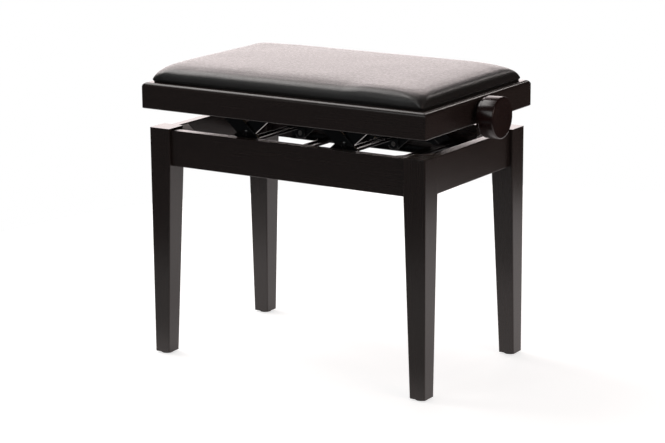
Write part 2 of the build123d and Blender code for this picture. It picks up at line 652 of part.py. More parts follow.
def main():
    os.makedirs("parts", exist_ok=True)
    ends = {"left": -1, "right": 1}
    corners = [(side_x, side_y) for side_y in FACES.values() for side_x in ends.values()]

    for face_name, face in FACES.items():
        for end_name, end in ends.items():
            save(f"leg_{face_name}_{end_name}", leg(end, face))
        save(f"apron_{face_name}", long_apron(face))
        save(f"lower_rail_{face_name}", lower_rail(face))
        save(f"upper_rail_{face_name}", upper_rail(face))
    for end_name, end in ends.items():
        save(f"apron_{end_name}", end_apron(end))
    save("foot_glides", *[glide(*corner) for corner in corners])
    save("corner_blocks", *[corner_block(*corner) for corner in corners])
    save("leg_bolts", *[leg_bolt(*corner) for corner in corners])
    screws = [lower_rail_screw(x, face) for x in lower_screw_places() for face in FACES.values()]
    save("lower_rail_screws", *screws)

    pairs = [(side, face) for side in SIDES for face in FACES.values()]
    for side in SIDES:
        save(f"lower_fixed_channel_{side}", lower_cross(FIXED_X[side], OUTER_CROSS_END))
        save(f"lower_sliding_channel_{side}", lower_cross(SLIDING_X[side], INNER_CROSS_END))
        save(f"lower_slide_pins_{side}", *[lower_slide_pin(side, face) for face in FACES.values()])
        save(f"upper_fixed_bar_{side}", upper_fixed_bar(side))
        save(f"upper_sliding_bar_{side}", upper_sliding_bar(side))
        save(f"centre_rivets_{side}", *[centre_rivet(side, face) for face in FACES.values()])
        for face_name, face in FACES.items():
            save(f"outer_arm_{side}_{face_name}", outer_arm(side, face))
            save(f"inner_arm_{side}_{face_name}", inner_arm(side, face))
    save("lower_fixed_pins", *[lower_fixed_pin(*pair) for pair in pairs])
    save("upper_fixed_pins", *[upper_fixed_pin(*pair) for pair in pairs])
    save("upper_slide_pins", *[upper_slide_pin(*pair) for pair in pairs])
    save("tie_bars", *[tie_bar(face) for face in FACES.values()])
    save("tie_bar_rivets", *[tie_rivet(place) for place in tie_rivet_places()])

    save("seat_rail_front", Pos(0, -SEAT_DEPTH / 2, 0) * seat_rail(SEAT_LENGTH))
    save("seat_rail_back", Pos(0, SEAT_DEPTH / 2, 0) * Rot(0, 0, 180) * seat_rail(SEAT_LENGTH))
    save("seat_rail_left", Pos(-SEAT_LENGTH / 2, 0, 0) * Rot(0, 0, -90) * seat_rail(SEAT_DEPTH))
    save("seat_rail_right", right_seat_rail())
    save("seat_board", seat_board())
    save("cushion", cushion())
    rail_screws = [board_screw(place, RAIL_THICKNESS) for place in board_screw_places()["rails"]]
    bar_screws = [board_screw(place, CROSS_WALL) for place in board_screw_places()["bars"]]
    save("board_screws", *rail_screws, *bar_screws)
    save("spindle_bracket", spindle_bracket())
    save("bracket_screws", *[bracket_screw(place) for place in bracket_screw_places()])

    save("spindle", spindle())
    save("spindle_nut", spindle_nut())
    save("thrust_collars", *[thrust_collar(direction) for direction in (-1, 1)])
    save("backing_disc", backing_disc())
    save("knob", knob())


main()
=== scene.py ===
import bmesh
import bpy
import json
import math
from mathutils import Matrix, Vector, noise


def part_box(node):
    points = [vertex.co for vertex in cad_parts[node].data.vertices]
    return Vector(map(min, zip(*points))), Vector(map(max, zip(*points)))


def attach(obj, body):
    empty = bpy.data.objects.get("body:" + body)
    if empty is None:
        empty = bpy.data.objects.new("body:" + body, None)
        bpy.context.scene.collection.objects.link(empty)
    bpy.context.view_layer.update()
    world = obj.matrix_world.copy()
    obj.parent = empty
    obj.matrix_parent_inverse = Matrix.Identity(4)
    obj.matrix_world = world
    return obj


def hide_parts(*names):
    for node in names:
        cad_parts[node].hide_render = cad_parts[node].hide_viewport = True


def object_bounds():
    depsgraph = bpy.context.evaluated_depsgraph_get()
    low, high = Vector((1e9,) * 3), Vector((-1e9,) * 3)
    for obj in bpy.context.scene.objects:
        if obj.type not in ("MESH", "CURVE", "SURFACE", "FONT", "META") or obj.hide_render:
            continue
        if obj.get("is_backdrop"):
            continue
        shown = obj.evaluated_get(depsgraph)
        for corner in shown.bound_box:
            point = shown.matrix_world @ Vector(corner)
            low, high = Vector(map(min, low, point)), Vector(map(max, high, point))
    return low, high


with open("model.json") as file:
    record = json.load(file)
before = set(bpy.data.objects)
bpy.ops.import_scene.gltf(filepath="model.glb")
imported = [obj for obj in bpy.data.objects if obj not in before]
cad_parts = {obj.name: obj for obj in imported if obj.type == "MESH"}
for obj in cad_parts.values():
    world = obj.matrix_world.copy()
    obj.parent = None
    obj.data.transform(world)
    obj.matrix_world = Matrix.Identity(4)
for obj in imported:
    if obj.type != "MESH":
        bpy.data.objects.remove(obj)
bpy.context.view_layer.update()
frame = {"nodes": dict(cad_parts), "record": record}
nodes = frame["nodes"]
slotOf = {part["node"]: part["material_slot"] for part in frame["record"]["subparts"]}
print("frame loaded:", len(nodes), "CAD nodes")


# Node sockets as plain values, and a bench that makes nodes for materials, the world and shape trees

class Wire:
    def __init__(self, bench, socket):
        self.bench = bench
        self.socket = socket

    def math(self, operation, *others):
        return self.bench.make("ShaderNodeMath", {"operation": operation}, dict(enumerate((self,) + others)))

    def flipped(self, operation, other):
        return self.bench.make("ShaderNodeMath", {"operation": operation}, {0: other, 1: self})

    def __add__(self, other):
        return self.math("ADD", other)

    def __radd__(self, other):
        return self.flipped("ADD", other)

    def __sub__(self, other):
        return self.math("SUBTRACT", other)

    def __rsub__(self, other):
        return self.flipped("SUBTRACT", other)

    def __mul__(self, other):
        return self.math("MULTIPLY", other)

    def __rmul__(self, other):
        return self.flipped("MULTIPLY", other)

    def __truediv__(self, other):
        return self.math("DIVIDE", other)

    def __rtruediv__(self, other):
        return self.flipped("DIVIDE", other)


class Bench:
    def __init__(self, tree):
        self.tree = tree

    def put(self, socket, value):
        if isinstance(value, Wire):
            self.tree.links.new(value.socket, socket)
        elif isinstance(value, list):
            for wire in value:
                self.put(socket, wire)
        else:
            socket.default_value = value

    def make(self, kind, settings=None, sockets=None, out=0):
        node = self.tree.nodes.new(kind)
        for name, value in (settings or {}).items():
            if name == "ramp":
                while len(node.color_ramp.elements) < len(value):
                    node.color_ramp.elements.new(0.5)
                for element, (place, shade) in zip(node.color_ramp.elements, value):
                    element.position = place
                    element.color = (shade, shade, shade, 1)
            else:
                setattr(node, name, value)
        for name, value in (sockets or {}).items():
            self.put(node.inputs[name], value)
        return Wire(self, node.outputs[out]) if node.outputs else None

    def mix(self, factor, colourA, colourB):
        both = {"Factor": factor, 6: colourA, 7: colourB}
        return self.make("ShaderNodeMix", {"data_type": "RGBA"}, both, 2)

    def band(self, value, start, end):
        return self.make("ShaderNodeMapRange", None, {"Value": value, "From Min": start, "From Max": end})

    def rayMask(self):
        camera, glossy, clear = (self.make("ShaderNodeLightPath", out="Is %s Ray" % kind)
                                 for kind in ("Camera", "Glossy", "Transmission"))
        return camera, glossy.math("MAXIMUM", clear)


class Finish(Bench):
    def __init__(self, name):
        self.material = bpy.data.materials.new(name)
        self.material.use_nodes = True
        super().__init__(self.material.node_tree)
        self.shader = self.tree.nodes["Principled BSDF"]

    def set(self, **values):
        for name, value in values.items():
            self.put(self.shader.inputs[name.replace("_", " ")], value)

    def place(self, scale=(1, 1, 1), turn=(0, 0, 0)):
        coordinates = self.make("ShaderNodeTexCoord", out="Object")
        return self.make("ShaderNodeMapping", None, {"Vector": coordinates, "Scale": scale, "Rotation": turn})

    def grain(self, place, scale, detail=3.0, roughness=0.55):
        return self.make("ShaderNodeTexNoise", None,
                         {"Vector": place, "Scale": scale, "Detail": detail, "Roughness": roughness})

    def ramp(self, value, *stops):
        return self.make("ShaderNodeValToRGB", {"ramp": stops}, {"Fac": value})

    def swung(self, pattern, middle, span):
        return pattern * span + (middle - span / 2)

    def bump(self, height, distance, strength=1.0, normal=None):
        sockets = {"Height": height, "Distance": distance, "Strength": strength}
        if normal is not None:
            sockets["Normal"] = normal
        return self.make("ShaderNodeBump", None, sockets)

    def softEdge(self, radius):
        return self.make("ShaderNodeBevel", {"samples": 8}, {"Radius": radius})


def rgb(red, green, blue):
    return (red, green, blue, 1.0)


# Finishes

lacquer = {"dark": rgb(0.0160, 0.0116, 0.0106), "warm": rgb(0.0220, 0.0153, 0.0138), "roughness": 0.23,
           "sheenSwing": 0.05, "alongGrain": 5.0, "acrossGrain": 95.0, "pore": 3.2, "figure": 0.6,
           "poreShare": 0.55, "poreDepth": 0.00002, "poreStrength": 0.06, "edge": 0.0014}


def blackLacquer(axis):
    finish = Finish("blackLacquer" + axis)
    scale = [lacquer["acrossGrain"]] * 3
    scale["XYZ".index(axis)] = lacquer["alongGrain"]
    place = finish.place(tuple(scale))
    pores = finish.grain(place, lacquer["pore"], 5.0, 0.62)
    figure = finish.grain(place, lacquer["figure"], 2.0)
    share = lacquer["poreShare"]
    warmth = finish.ramp(pores * share + figure * (1 - share), (0.2, 0.0), (0.85, 1.0))
    edge = finish.softEdge(lacquer["edge"])
    finish.set(Base_Color=finish.mix(warmth, lacquer["dark"], lacquer["warm"]),
               Roughness=finish.swung(pores, lacquer["roughness"], lacquer["sheenSwing"]),
               Normal=finish.bump(pores, lacquer["poreDepth"], lacquer["poreStrength"], edge))
    return finish.material


enamel = {"colour": rgb(0.0035, 0.0035, 0.0038), "roughness": 0.15, "sheenSwing": 0.1, "smear": 35.0,
          "peel": 420.0, "peelDepth": 0.00005, "peelStrength": 0.35, "edge": 0.0009}


def blackEnamel():
    finish = Finish("blackEnamel")
    place = finish.place()
    peel = finish.grain(place, enamel["peel"], 1.0)
    smear = finish.grain(place, enamel["smear"], 3.0)
    edge = finish.softEdge(enamel["edge"])
    finish.set(Base_Color=enamel["colour"],
               Roughness=finish.swung(smear, enamel["roughness"], enamel["sheenSwing"]),
               Normal=finish.bump(peel, enamel["peelDepth"], enamel["peelStrength"], edge))
    return finish.material


zinc = {"colour": rgb(0.62, 0.63, 0.65), "stain": rgb(0.42, 0.41, 0.38), "roughness": 0.34,
        "sheenSwing": 0.14, "spangle": 650.0, "bloom": 160.0}


def zincPlate():
    finish = Finish("zincPlate")
    place = finish.place()
    spangle = finish.make("ShaderNodeTexVoronoi", None, {"Vector": place, "Scale": zinc["spangle"]}, "Color")
    glint = finish.make("ShaderNodeSeparateColor", None, {"Color": spangle})
    bloom = finish.grain(place, zinc["bloom"], 4.0)
    finish.set(Base_Color=finish.mix(bloom, zinc["colour"], zinc["stain"]), Metallic=1.0,
               Roughness=finish.swung(glint, zinc["roughness"], zinc["sheenSwing"]))
    return finish.material


steel = {"colour": rgb(0.17, 0.165, 0.16), "oil": rgb(0.05, 0.047, 0.044), "roughness": 0.3,
         "sheenSwing": 0.2, "oilDulls": 0.12, "oilPatch": 70.0, "toolMark": 90.0, "markStretch": (1, 60, 60),
         "markDepth": 0.00004, "markStrength": 0.4, "edge": 0.0004}


def oiledSteel():
    finish = Finish("oiledSteel")
    place = finish.place()
    oil = finish.ramp(finish.grain(place, steel["oilPatch"], 4.0), (0.4, 0.0), (0.7, 1.0))
    turned = finish.grain(finish.place(steel["markStretch"]), steel["toolMark"], 2.0)
    sheen = finish.swung(turned, steel["roughness"], steel["sheenSwing"])
    edge = finish.softEdge(steel["edge"])
    finish.set(Base_Color=finish.mix(oil, steel["colour"], steel["oil"]), Metallic=1.0,
               Roughness=sheen + oil * steel["oilDulls"],
               Normal=finish.bump(turned, steel["markDepth"], steel["markStrength"], edge))
    return finish.material


softwood = {"early": rgb(0.052, 0.038, 0.03), "late": rgb(0.022, 0.015, 0.011), "roughness": 0.72,
            "ring": 12.0, "wander": 2.2, "ringShare": 0.7, "pore": 240.0, "poreDepth": 0.00015,
            "poreStrength": 0.4}


def stainedSoftwood():
    finish = Finish("stainedSoftwood")
    place = finish.place((1.0, 1.0, 5.0), (0.0, 0.0, math.radians(45)))
    rings = finish.make("ShaderNodeTexWave", {"bands_direction": "Z", "wave_profile": "SAW"},
                        {"Vector": place, "Scale": softwood["ring"], "Distortion": softwood["wander"],
                         "Detail": 2.0})
    pores = finish.grain(place, softwood["pore"], 3.0)
    share = softwood["ringShare"]
    shade = rings * share + pores * (1 - share)
    finish.set(Base_Color=finish.mix(shade, softwood["early"], softwood["late"]),
               Roughness=softwood["roughness"],
               Normal=finish.bump(rings + pores, softwood["poreDepth"], softwood["poreStrength"]))
    return finish.material


plyboard = {"face": rgb(0.55, 0.40, 0.25), "dark": rgb(0.38, 0.26, 0.15), "ply": 0.002, "roughness": 0.7,
            "grain": (3.0, 60.0, 1.0), "figure": 4.0, "figureShare": 0.65, "layerShare": 0.3,
            "grainDepth": 0.0001, "grainStrength": 0.4}


def plywood():
    finish = Finish("plywood")
    figure = finish.grain(finish.place(plyboard["grain"]), plyboard["figure"], 5.0)
    level = finish.make("ShaderNodeSeparateXYZ", None, {"Vector": finish.place()}, "Z")
    layer = (level / (2 * plyboard["ply"])).math("FRACT").math("GREATER_THAN", 0.5)
    shade = figure * plyboard["figureShare"] + layer * plyboard["layerShare"]
    finish.set(Base_Color=finish.mix(shade, plyboard["face"], plyboard["dark"]),
               Roughness=plyboard["roughness"],
               Normal=finish.bump(figure, plyboard["grainDepth"], plyboard["grainStrength"]))
    return finish.material


glideSkin = {"colour": rgb(0.009, 0.009, 0.009), "scuff": rgb(0.028, 0.027, 0.026), "roughness": 0.5,
             "scuffDulls": 0.2, "scuffPatch": 130.0, "pit": 900.0, "pitDepth": 0.00005, "pitStrength": 0.4}


def scuffedPlastic():
    finish = Finish("scuffedPlastic")
    place = finish.place()
    scuff = finish.ramp(finish.grain(place, glideSkin["scuffPatch"], 5.0), (0.52, 0.0), (0.75, 1.0))
    pits = finish.grain(place, glideSkin["pit"])
    finish.set(Base_Color=finish.mix(scuff, glideSkin["colour"], glideSkin["scuff"]),
               Roughness=scuff * glideSkin["scuffDulls"] + glideSkin["roughness"],
               Normal=finish.bump(pits, glideSkin["pitDepth"], glideSkin["pitStrength"]))
    return finish.material


knobSkin = {"dark": rgb(0.006, 0.0032, 0.0030), "warm": rgb(0.018, 0.0062, 0.0055), "roughness": 0.2,
            "sheenSwing": 0.1, "grain": (4.0, 110.0, 110.0), "streak": 2.4}


def turnedKnob():
    finish = Finish("turnedKnob")
    streak = finish.grain(finish.place(knobSkin["grain"]), knobSkin["streak"], 4.0)
    finish.set(Base_Color=finish.mix(streak, knobSkin["dark"], knobSkin["warm"]),
               Roughness=finish.swung(streak, knobSkin["roughness"], knobSkin["sheenSwing"]))
    return finish.material


# grooveShade is painted shade: a darker colour laid into the grooves between the grain's pebbles
vinylSkin = {"colour": rgb(0.0125, 0.012, 0.012), "grooveShade": rgb(0.006, 0.0058, 0.0058),
             "roughness": 0.4, "mottleSwing": 0.16, "valleyDulls": 0.06, "coat": 0.38, "coatRoughness": 0.32,
             "cell": 0.0016, "cellWander": 0.0009, "wanderScale": 260.0, "mottle": 210.0,
             "grainDepth": 0.00016, "grainStrength": 0.5}


def grainedVinyl():
    finish = Finish("grainedVinyl")
    place = finish.place()
    wander = finish.make("ShaderNodeTexNoise", None,
                         {"Vector": place, "Scale": vinylSkin["wanderScale"], "Detail": 2.0}, "Color")
    shifted = finish.make("ShaderNodeVectorMath", {"operation": "MULTIPLY_ADD"},
                          {0: wander, 1: (vinylSkin["cellWander"],) * 3, 2: place})
    cells = finish.make("ShaderNodeTexVoronoi", {"feature": "DISTANCE_TO_EDGE"},
                        {"Vector": shifted, "Scale": 1 / vinylSkin["cell"]})
    pebble = finish.ramp(cells, (0.0, 0.0), (0.16, 1.0))
    mottle = finish.ramp(finish.grain(place, vinylSkin["mottle"], 2.0), (0.3, 0.0), (0.7, 1.0))
    sheen = finish.swung(mottle, vinylSkin["roughness"], vinylSkin["mottleSwing"])
    # painted shade: the colour goes darker in the grooves between pebbles, where the bump is lowest
    finish.set(Base_Color=finish.mix(pebble, vinylSkin["grooveShade"], vinylSkin["colour"]),
               Roughness=sheen + (1 - pebble) * vinylSkin["valleyDulls"],
               Coat_Weight=vinylSkin["coat"], Coat_Roughness=vinylSkin["coatRoughness"],
               Normal=finish.bump(pebble + mottle, vinylSkin["grainDepth"], vinylSkin["grainStrength"]))
    return finish.material


lacquerAlong = {axis: blackLacquer(axis) for axis in "XYZ"}
slotFinish = {
    "plain_wood": stainedSoftwood(),
    "plywood": plywood(),
    "glide_plastic": scuffedPlastic(),
    "knob_plastic": turnedKnob(),
    "zinc_screws": zincPlate(),
    "bright_steel": oiledSteel(),
    "black_enamelled_steel": blackEnamel(),
    "black_vinyl": grainedVinyl(),
}
for name, node in nodes.items():
    finish = slotFinish.get(slotOf[name])
    if finish is None:
        low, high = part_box(name)
        size = high - low
        finish = lacquerAlong["XYZ"[max(range(3), key=lambda axis: size[axis])]]
    node.data.materials.clear()
    node.data.materials.append(finish)
print("finishes laid on", len(nodes), "nodes")


# Meshes

def newPiece(name, mesh, finish):
    bmesh.ops.recalc_face_normals(mesh, faces=mesh.faces)
    data = bpy.data.meshes.new(name)
    mesh.to_mesh(data)
    mesh.free()
    data.materials.append(finish)
    piece = bpy.data.objects.new(name, data)
    bpy.context.scene.collection.objects.link(piece)
    return piece


def applied(piece):
    graph = bpy.context.evaluated_depsgraph_get()
    data = bpy.data.meshes.new_from_object(piece.evaluated_get(graph))
    piece.modifiers.clear()
    piece.data = data


def smoothed(piece):
    for polygon in piece.data.polygons:
        polygon.use_smooth = True


def takesPlaceOf(piece, body, *names):
    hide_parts(*names)
    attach(piece, body)


# Cushion: a foam block under stretched vinyl, its foot on the seat board inside the frame

pad = {"footInset": -0.0003, "bulge": 0.0044, "bulgeStart": 0.05, "bulgeEnd": 0.24, "drawIn": 0.0008,
       "roll": 0.0225, "rollPower": 1.7, "rise": 0.0285, "risePower": 0.9, "ringSpread": 1.3,
       "crown": 0.0032, "crownPower": 0.7, "footCorner": 0.0012, "topCorner": 0.034, "cornerPower": 1.5,
       "cellsX": 110, "cellsY": 66, "rings": 16, "creasedRings": 8,
       "pressure": 3.2, "frames": 20, "quality": 6, "heldBelow": 0.002, "cap": 0.0025, "evening": 10,
       "pleatDepth": 0.0009, "pleatWidth": 0.017, "pleatReach": 0.028, "pleatShift": 1.1,
       "frontSag": 0.0032, "sagDepth": 0.032, "sagEnds": (0.085, 0.130),
       "rightSag": 0.0034, "rightReach": 0.048,
       "unevenness": 0.0005, "unevenScale": 14, "unevenSeed": 3.7, "flatFoot": 0.02}


def eased(value, start, end):
    share = min(1.0, max(0.0, (value - start) / (end - start)))
    return share * share * (3 - 2 * share)


def outlinePoints(halfX, halfY, corner, height, drawIn):
    halfArc = corner * math.pi / 4
    sides = (((1, 0), (0, -1), halfX, halfY, pad["cellsX"]), ((0, 1), (1, 0), halfY, halfX, pad["cellsY"]),
             ((-1, 0), (0, 1), halfX, halfY, pad["cellsX"]), ((0, -1), (-1, 0), halfY, halfX, pad["cellsY"]))
    points = []
    for along, outward, halfLength, halfWidth, cells in sides:
        along, outward = Vector((*along, 0)), Vector((*outward, 0))
        straight = 2 * (halfLength - corner)
        for cell in range(cells):
            walked = (straight + 2 * halfArc) * cell / cells
            inside = min(max(walked - halfArc, 0), straight)
            turn = (walked - halfArc - inside) / corner
            sway = 1 - (2 * cell / cells - 1) ** 2
            spot = along * (inside - straight / 2) + outward * (halfWidth - corner - drawIn * sway)
            spot += corner * (outward * math.cos(turn) + along * math.sin(turn))
            points.append(spot + Vector((0, 0, height)))
    return points


def cushionSections(low, high):
    halfX, halfY = (high.x - low.x) / 2, (high.y - low.y) / 2
    sections = []
    for ring in range(pad["rings"] + 1):
        turn = math.pi / 2 * (ring / pad["rings"]) ** pad["ringSpread"]
        climb = math.sin(turn) ** pad["risePower"]
        inset = pad["footInset"] - pad["bulge"] * eased(climb, pad["bulgeStart"], pad["bulgeEnd"])
        inset += pad["roll"] * (1 - math.cos(turn)) ** pad["rollPower"]
        corner = pad["footCorner"] + (pad["topCorner"] - pad["footCorner"]) * climb ** pad["cornerPower"]
        drawIn = pad["drawIn"] * eased(climb, 0.0, pad["bulgeStart"])  # the foot covers the board's edge
        height = low.z + pad["rise"] * climb
        sections.append(outlinePoints(halfX - inset, halfY - inset, corner, height, drawIn))
    return sections


def cushionForm():
    low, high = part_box("cushion")
    middle = Vector(((low.x + high.x) / 2, (low.y + high.y) / 2, 0))
    mesh = bmesh.new()
    loops = [[mesh.verts.new(point + middle) for point in section] for section in cushionSections(low, high)]
    count = len(loops[0])
    nx, ny = pad["cellsX"], pad["cellsY"]
    for lower, upper in zip(loops, loops[1:]):
        for i in range(count):
            k = (i + 1) % count
            mesh.faces.new((lower[i], lower[k], upper[k], upper[i]))
    crease = mesh.edges.layers.float.new("crease_edge")
    for ring in range(pad["creasedRings"]):
        for i in (0, nx, nx + ny, 2 * nx + ny):
            mesh.edges.get((loops[ring][i], loops[ring + 1][i]))[crease] = 1 - ring / pad["creasedRings"]
    # the top is a grid spread between the four sides of the last outline
    rim = loops[-1] + loops[-1][:1]
    front, right = rim[:nx + 1], rim[nx:nx + ny + 1]
    back, left = rim[nx + ny:2 * nx + ny + 1][::-1], rim[2 * nx + ny:][::-1]
    grid = [[None] * (ny + 1) for _ in range(nx + 1)]
    for i in range(nx + 1):
        for j in range(ny + 1):
            u, v = i / nx, j / ny
            if i in (0, nx):
                grid[i][j] = left[j] if i == 0 else right[j]
            elif j in (0, ny):
                grid[i][j] = front[i] if j == 0 else back[i]
            else:
                spot = front[i].co * (1 - v) + back[i].co * v + left[j].co * (1 - u) + right[j].co * u
                spot -= front[0].co * (1 - u) * (1 - v) + front[nx].co * u * (1 - v)
                spot -= back[0].co * (1 - u) * v + back[nx].co * u * v
                spot.z += pad["crown"] * (16 * u * (1 - u) * v * (1 - v)) ** pad["crownPower"]
                grid[i][j] = mesh.verts.new(spot)
    for i in range(nx):
        for j in range(ny):
            mesh.faces.new((grid[i][j], grid[i + 1][j], grid[i + 1][j + 1], grid[i][j + 1]))
    return newPiece("cushion_cover", mesh, slotFinish["black_vinyl"])


def swell(cover):
    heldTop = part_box("cushion")[0].z + pad["heldBelow"]
    before = [vertex.co.copy() for vertex in cover.data.vertices]
    held = cover.vertex_groups.new(name="held")
    held.add([v.index for v in cover.data.vertices if v.co.z < heldTop], 1.0, "REPLACE")
    cloth = cover.modifiers.new("cloth", "CLOTH")
    cloth.settings.vertex_group_mass = "held"
    cloth.settings.use_pressure = True
    cloth.settings.uniform_pressure_force = pad["pressure"]
    cloth.settings.effector_weights.gravity = 0
    cloth.settings.quality = pad["quality"]
    cloth.collision_settings.use_collision = False
    scene = bpy.context.scene
    for step in range(1, pad["frames"] + 1):
        scene.frame_set(step)
    applied(cover)
    scene.frame_set(1)
    moves = [vertex.co - start for vertex, start in zip(cover.data.vertices, before)]
    print("cushion swelled by up to", round(max(move.length for move in moves) * 1000, 2), "mm")
    moves = [move * min(1.0, pad["cap"] / max(move.length, 1e-9)) for move in moves]
    beside = [[] for _ in moves]
    for edge in cover.data.edges:
        a, b = edge.vertices
        beside[a].append(b)
        beside[b].append(a)
    for _ in range(pad["evening"]):
        moves = [sum((moves[k] for k in around), move) / (len(around) + 1)
                 for move, around in zip(moves, beside)]
    for vertex, start, move in zip(cover.data.vertices, before, moves):
        vertex.co = start + move


def pleated(cover):
    low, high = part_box("cushion")
    middle = (low + high) / 2
    for vertex in cover.data.vertices:
        spot = vertex.co
        climb = (spot.z - low.z) / pad["rise"]
        if climb < pad["flatFoot"]:
            continue
        side = Vector((math.copysign(1, spot.x - middle.x), math.copysign(1, spot.y - middle.y), 0))
        side /= math.sqrt(2)
        corner = Vector((high.x if side.x > 0 else low.x, high.y if side.y > 0 else low.y, spot.z))
        across = (spot - corner).dot(Vector((-side.y, side.x, 0)))
        near = math.exp(-((spot - corner).length / pad["pleatReach"]) ** 2)
        fold = 0.5 - 0.5 * math.cos(2 * math.pi * across / pad["pleatWidth"] + pad["pleatShift"])
        spot -= side * (pad["pleatDepth"] * near * fold * math.sin(math.pi * min(1, climb)))
        drop = pad["frontSag"] * math.exp(-((spot.y - low.y) / pad["sagDepth"]) ** 2)
        drop *= 1 - eased(spot.x, *pad["sagEnds"])
        drop += pad["rightSag"] * math.exp(-((high.x - spot.x) / pad["rightReach"]) ** 2)
        waver = Vector((spot.x * pad["unevenScale"], spot.y * pad["unevenScale"], pad["unevenSeed"]))
        drop += pad["unevenness"] * noise.noise(waver)
        spot.z -= drop * min(1, climb)


def closeFoot(cover):
    mesh = bmesh.new()
    mesh.from_mesh(cover.data)
    bmesh.ops.holes_fill(mesh, edges=[edge for edge in mesh.edges if edge.is_boundary], sides=0)
    bmesh.ops.recalc_face_normals(mesh, faces=mesh.faces)
    mesh.to_mesh(cover.data)
    mesh.free()


def cushionCover():
    cover = cushionForm()
    swell(cover)
    rounded = cover.modifiers.new("rounded", "SUBSURF")
    rounded.levels = rounded.render_levels = 1
    applied(cover)
    pleated(cover)
    closeFoot(cover)
    smoothed(cover)
    takesPlaceOf(cover, "seat", "cushion")
    print("cushion:", len(cover.data.vertices), "vertices")


cushionCover()


# Shape trees: each stands its fastener on points, with its head along the point's own direction

class Jig(Bench):
    def __init__(self, name, *sizes):
        super().__init__(bpy.data.node_groups.new(name, "GeometryNodeTree"))
        self.keys = {}
        kinds = {"Geometry": "Geometry", **{size: "Float" for size in sizes}, "Finish": "Material"}
        for label, kind in kinds.items():
            socket = self.tree.interface.new_socket(label, in_out="INPUT", socket_type="NodeSocket" + kind)
            self.keys[label] = socket.identifier
        self.tree.interface.new_socket("Geometry", in_out="OUTPUT", socket_type="NodeSocketGeometry")

    def given(self, label):
        return self.make("NodeGroupInput", out=label)

    def moved(self, shape, height, turn=(0, 0, 0)):
        lift = self.make("ShaderNodeCombineXYZ", None, {"Z": height})
        return self.make("GeometryNodeTransform", None,
                         {"Geometry": shape, "Translation": lift, "Rotation": turn})

    def rod(self, radius, depth, foot, sides=32):
        shape = self.make("GeometryNodeMeshCylinder", None,
                          {"Vertices": sides, "Radius": radius, "Depth": depth})
        return self.moved(shape, foot + depth * 0.5)

    def ball(self, radius, middle):
        shape = self.make("GeometryNodeMeshUVSphere", None, {"Segments": 32, "Rings": 24, "Radius": radius})
        return self.moved(shape, middle)

    def bar(self, length, width, depth, middle):
        size = self.make("ShaderNodeCombineXYZ", None, {"X": length, "Y": width, "Z": depth})
        return self.moved(self.make("GeometryNodeMeshCube", None, {"Size": size}), middle)

    def cut(self, operation, shape, *others):
        if operation == "DIFFERENCE":
            sockets = {"Mesh 2": list(others), "Mesh 1": shape}
        else:
            sockets = {"Mesh 2": [shape, *others]}
        return self.make("GeometryNodeMeshBoolean", {"operation": operation, "solver": "EXACT"}, sockets)

    def dome(self, radius, height):
        ballRadius = (radius * radius + height * height) / (2 * height)
        ball = self.ball(ballRadius, height - ballRadius)
        return self.cut("INTERSECT", ball, self.rod(radius * 1.2, height * 2, 0))

    def thread(self, radius, depth, lead, length, foot, turn=0.0):
        coil = self.make("GeometryNodeCurveSpiral", None,
                         {"Resolution": 24, "Rotations": length / lead, "Height": length,
                          "Start Radius": radius, "End Radius": radius})
        ridge = self.make("GeometryNodeCurvePrimitiveCircle", None, {"Resolution": 5, "Radius": depth})
        swept = self.make("GeometryNodeCurveToMesh", None,
                          {"Curve": coil, "Profile Curve": ridge, "Fill Caps": True})
        return self.moved(swept, foot, (0, 0, turn))

    def stood(self, shape):
        aim = self.make("GeometryNodeInputNamedAttribute", {"data_type": "FLOAT_VECTOR"}, {"Name": "aim"})
        turn = self.make("FunctionNodeAlignRotationToVector", {"axis": "Z"}, {"Vector": aim})
        copies = self.make("GeometryNodeInstanceOnPoints", None,
                           {"Points": self.given("Geometry"), "Instance": shape, "Rotation": turn})
        real = self.make("GeometryNodeRealizeInstances", None, {"Geometry": copies})
        coated = self.make("GeometryNodeSetMaterial", None,
                           {"Geometry": real, "Material": self.given("Finish")})
        self.make("NodeGroupOutput", None, {"Geometry": coated})


def crossScrewJig():
    jig = Jig("crossScrew", "Head Radius", "Head Height", "Shank Radius", "Shank Length", "Slot Width")
    radius, height = jig.given("Head Radius"), jig.given("Head Height")
    length, width = radius * 1.1, jig.given("Slot Width")
    slots = (jig.bar(length, width, height, height), jig.bar(width, length, height, height))
    bite = height * 0.2  # the shank runs a little into the head
    shankLength = jig.given("Shank Length")
    shank = jig.rod(jig.given("Shank Radius"), shankLength + bite, -1 * shankLength, 16)
    jig.stood(jig.cut("DIFFERENCE", jig.cut("UNION", jig.dome(radius, height), shank), *slots))
    return jig


def domedRivetJig():
    jig = Jig("domedRivet", "Head Radius", "Head Height", "Shank Radius", "Span")
    radius, height, span = jig.given("Head Radius"), jig.given("Head Height"), jig.given("Span")
    bite = height * 0.2
    shank = jig.rod(jig.given("Shank Radius"), span + bite * 2, -1 * span - bite)
    underHead = jig.moved(jig.dome(radius, height), -1 * span, (math.pi, 0, 0))
    jig.stood(jig.cut("UNION", jig.dome(radius, height), underHead, shank))
    return jig


